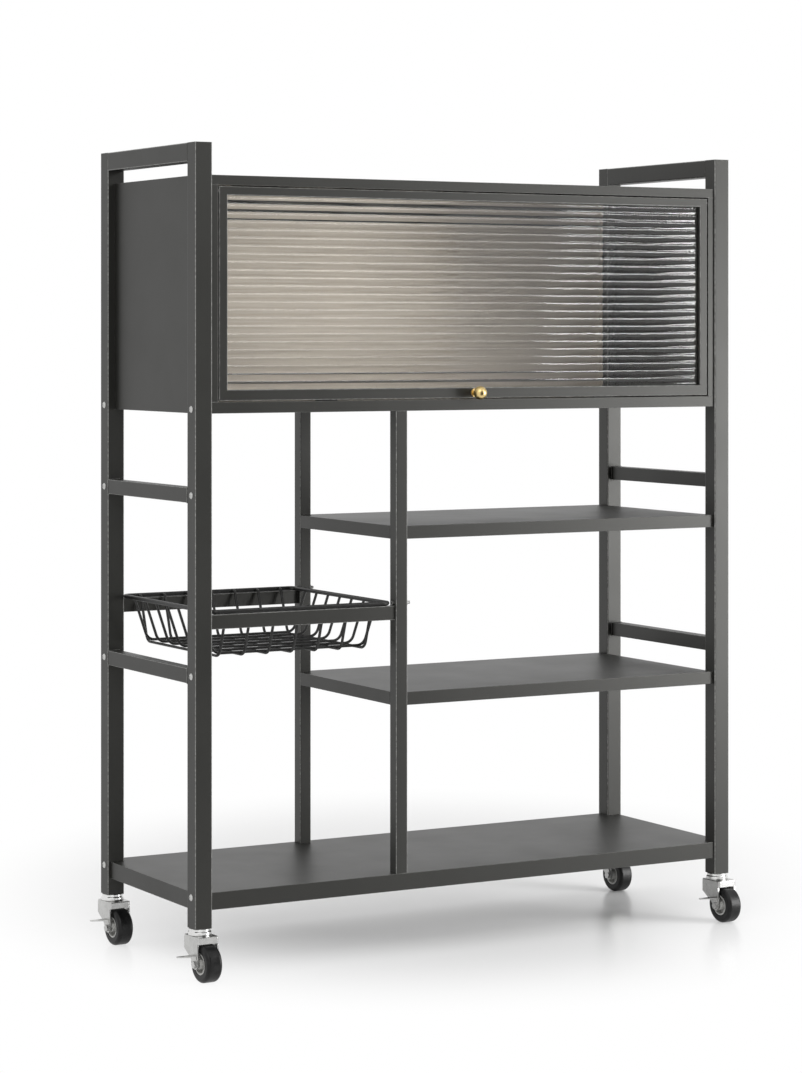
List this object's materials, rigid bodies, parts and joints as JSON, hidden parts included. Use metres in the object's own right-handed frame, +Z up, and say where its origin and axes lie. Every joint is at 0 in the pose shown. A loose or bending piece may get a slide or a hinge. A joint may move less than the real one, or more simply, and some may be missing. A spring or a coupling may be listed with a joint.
{
  "type": "kitchen cart",
  "caption": "steel kitchen cart on swivel casters with a glazed flip-up cabinet, side shelves, a bottom shelf and a lift-out wire basket",
  "frame": {"origin": "on the floor, under the middle of the cart's outer box with its casters as they stand", "axes": "+Z up, -Y is the front with the flip-up door, +X is the cart's right as seen from the front"},
  "size_m": [1.2486, 0.4794, 1.546],
  "materials": {
    "grey_steel": "satin dark grey powder coat on steel",
    "taupe_panel": "satin taupe coat on sheet steel",
    "black_wire": "satin black coat on welded wire",
    "reeded_glass": "clear glass with horizontal reeds on the front face",
    "brass": "satin turned brass",
    "zinc": "zinc-plated steel",
    "bright_steel": "bright nickel-plated steel",
    "tyre": "solid black rubber",
    "hub_plastic": "moulded light grey plastic",
    "black_plastic": "moulded black plastic",
    "catch_plastic": "moulded dark plastic with steel bars"
  },
  "bodies": {
    "frame": {"post_front_left": "grey_steel", "post_rear_left": "grey_steel", "post_front_right": "grey_steel", "post_rear_right": "grey_steel", "top_rail_left": "grey_steel", "top_rail_right": "grey_steel", "crossbar_upper_left": "grey_steel", "crossbar_lower_left": "grey_steel", "crossbar_upper_right": "grey_steel", "crossbar_lower_right": "grey_steel", "mid_post_front": "grey_steel", "mid_post_rear": "grey_steel", "shelf_bottom": "grey_steel", "shelf_lower": "grey_steel", "shelf_upper": "grey_steel", "cabinet_top": "grey_steel", "cabinet_floor": "grey_steel", "cabinet_side_left": "grey_steel", "cabinet_side_right": "grey_steel", "cabinet_back": "taupe_panel", "door_jambs": "grey_steel", "basket_rail_front": "grey_steel", "basket_rail_rear": "grey_steel", "basket_stops": "zinc", "basket_bolts": "zinc", "frame_bolts": "zinc", "frame_nuts": "zinc", "inner_fixings": "zinc", "pivot_pins": "zinc", "door_catches": "catch_plastic", "caster_sockets": "black_plastic", "caster_mounts": "bright_steel"},
    "door": {"door_frame": "grey_steel", "door_glass": "reeded_glass", "glazing_bead": "grey_steel", "pivot_blocks": "black_plastic", "catch_strikes": "zinc", "door_knob": "brass", "knob_screw": "zinc"},
    "basket": {"wire_basket": "black_wire"},
    "swivel_front_left": {"caster_yoke_front_left": "zinc", "caster_axle_front_left": "zinc"},
    "wheel_front_left": {"wheel_hub_front_left": "hub_plastic", "wheel_tyre_front_left": "tyre"},
    "brake_front_left": {"brake_lever_front_left": "zinc"},
    "swivel_rear_left": {"caster_yoke_rear_left": "zinc", "caster_axle_rear_left": "zinc"},
    "wheel_rear_left": {"wheel_hub_rear_left": "hub_plastic", "wheel_tyre_rear_left": "tyre"},
    "brake_rear_left": {"brake_lever_rear_left": "zinc"},
    "swivel_front_right": {"caster_yoke_front_right": "zinc", "caster_axle_front_right": "zinc"},
    "wheel_front_right": {"wheel_hub_front_right": "hub_plastic", "wheel_tyre_front_right": "tyre"},
    "brake_front_right": {"brake_lever_front_right": "zinc"},
    "swivel_rear_right": {"caster_yoke_rear_right": "zinc", "caster_axle_rear_right": "zinc"},
    "wheel_rear_right": {"wheel_hub_rear_right": "hub_plastic", "wheel_tyre_rear_right": "tyre"},
    "brake_rear_right": {"brake_lever_rear_right": "zinc"}
  },
  "joints": [
    {"name": "door_flip", "type": "hinge", "parent": "frame", "child": "door", "pos_m": [0.01114, -0.1858, 1.4575], "axis": [-1, 0, 0], "range_deg": [0, 90]},
    {"name": "basket_lift", "type": "slide", "parent": "frame", "child": "basket", "axis": [0, 0, 1], "range_m": [0, 0.28]},
    {"name": "caster_swivel_front_left", "type": "hinge", "parent": "frame", "child": "swivel_front_left", "pos_m": [-0.57136, -0.1773, 0.084], "axis": [0, 0, 1], "continuous": true},
    {"name": "wheel_spin_front_left", "type": "hinge", "parent": "swivel_front_left", "child": "wheel_front_left", "pos_m": [-0.56995, -0.20427, 0.035], "axis": [0.9986, 0.0523, 0], "continuous": true},
    {"name": "brake_press_front_left", "type": "hinge", "parent": "swivel_front_left", "child": "brake_front_left", "pos_m": [-0.56995, -0.20427, 0.035], "axis": [-0.9986, -0.0523, 0], "range_deg": [0, 20]},
    {"name": "caster_swivel_rear_left", "type": "hinge", "parent": "frame", "child": "swivel_rear_left", "pos_m": [-0.57136, 0.2177, 0.084], "axis": [0, 0, 1], "continuous": true},
    {"name": "wheel_spin_rear_left", "type": "hinge", "parent": "swivel_rear_left", "child": "wheel_rear_left", "pos_m": [-0.56995, 0.19073, 0.035], "axis": [0.9986, 0.0523, 0], "continuous": true},
    {"name": "brake_press_rear_left", "type": "hinge", "parent": "swivel_rear_left", "child": "brake_rear_left", "pos_m": [-0.56995, 0.19073, 0.035], "axis": [-0.9986, -0.0523, 0], "range_deg": [0, 20]},
    {"name": "caster_swivel_front_right", "type": "hinge", "parent": "frame", "child": "swivel_front_right", "pos_m": [0.59364, -0.1773, 0.084], "axis": [0, 0, 1], "continuous": true},
    {"name": "wheel_spin_front_right", "type": "hinge", "parent": "swivel_front_right", "child": "wheel_front_right", "pos_m": [0.59505, -0.20427, 0.035], "axis": [0.9986, 0.0523, 0], "continuous": true},
    {"name": "brake_press_front_right", "type": "hinge", "parent": "swivel_front_right", "child": "brake_front_right", "pos_m": [0.59505, -0.20427, 0.035], "axis": [-0.9986, -0.0523, 0], "range_deg": [0, 20]},
    {"name": "caster_swivel_rear_right", "type": "hinge", "parent": "frame", "child": "swivel_rear_right", "pos_m": [0.59364, 0.2177, 0.084], "axis": [0, 0, 1], "continuous": true},
    {"name": "wheel_spin_rear_right", "type": "hinge", "parent": "swivel_rear_right", "child": "wheel_rear_right", "pos_m": [0.59505, 0.19073, 0.035], "axis": [0.9986, 0.0523, 0], "continuous": true},
    {"name": "brake_press_rear_right", "type": "hinge", "parent": "swivel_rear_right", "child": "brake_rear_right", "pos_m": [0.59505, 0.19073, 0.035], "axis": [-0.9986, -0.0523, 0], "range_deg": [0, 20]}
  ]
}
